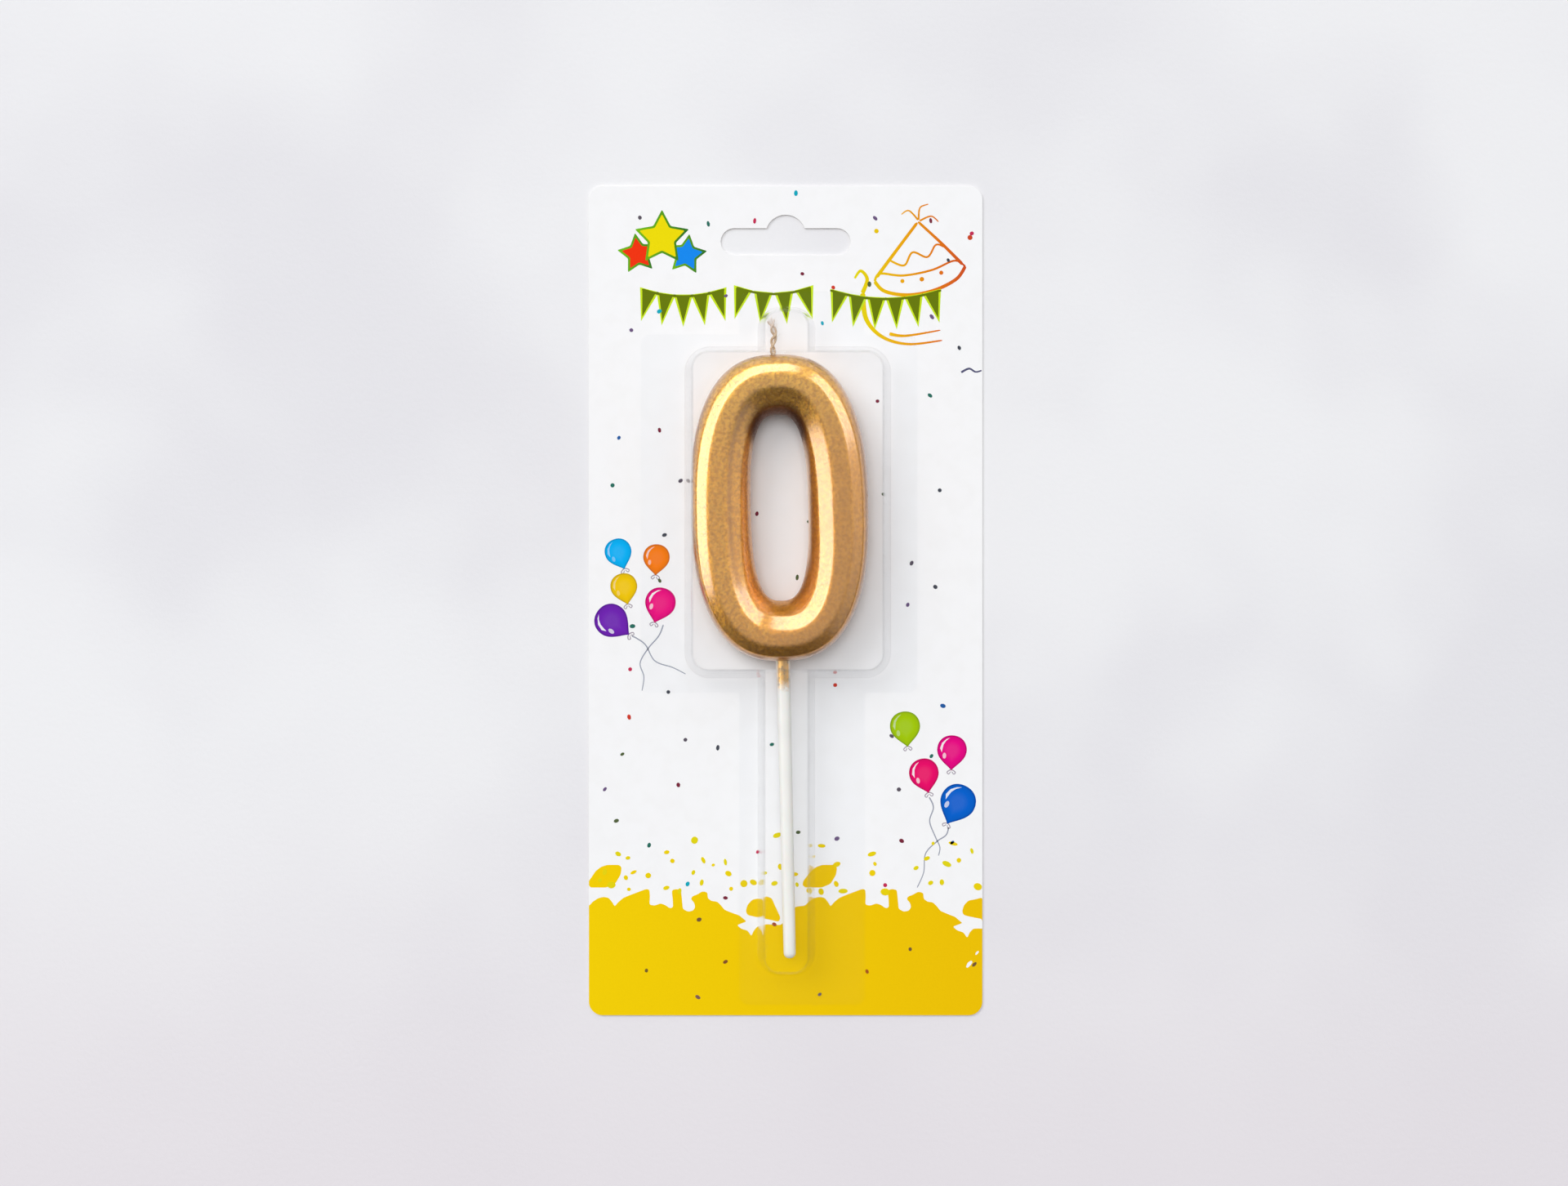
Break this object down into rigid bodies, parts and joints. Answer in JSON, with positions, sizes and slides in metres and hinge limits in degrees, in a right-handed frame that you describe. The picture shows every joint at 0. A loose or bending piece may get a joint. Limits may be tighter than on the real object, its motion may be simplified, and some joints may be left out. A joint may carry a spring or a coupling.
{
  "type": "number candle in blister pack",
  "caption": "Gold numeral candle with wick and pick, lying in a clear formed blister that is sealed to a printed hang card with a peg slot.",
  "frame": {"origin": "centre of the hang card's back face, on the surface that the pack lies on", "axes": "+X across the card to the right, +Y up the card towards the hang slot, +Z out of the printed face"},
  "size_m": [0.085, 0.179, 0.0139],
  "materials": {
    "printed_board": "white coated board with a semi-gloss colour print on the front",
    "clear_sheet": "clear thermoformed PET sheet, glossy",
    "gold_wax": "paraffin wax under a satin gold metallic lacquer with fine flake",
    "cotton_wick": "loosely twisted cotton, lightly waxed",
    "white_pick": "white moulded plastic, gold overspray at its neck"
  },
  "bodies": {
    "hang_card": {"card": "printed_board"},
    "clear_cover": {"blister": "clear_sheet"},
    "candle": {"numeral": "gold_wax", "wick": "cotton_wick", "pick": "white_pick"}
  },
  "joints": [
    {"name": "blister_peel", "type": "hinge", "parent": "hang_card", "child": "clear_cover", "pos_m": [0, 0.06668, 0.00051], "axis": [-1, 0, 0], "range_deg": [0, 90]},
    {"name": "candle_play", "type": "slide", "parent": "hang_card", "child": "candle", "axis": [1, 0, 0], "range_m": [0, 0.0024]}
  ]
}
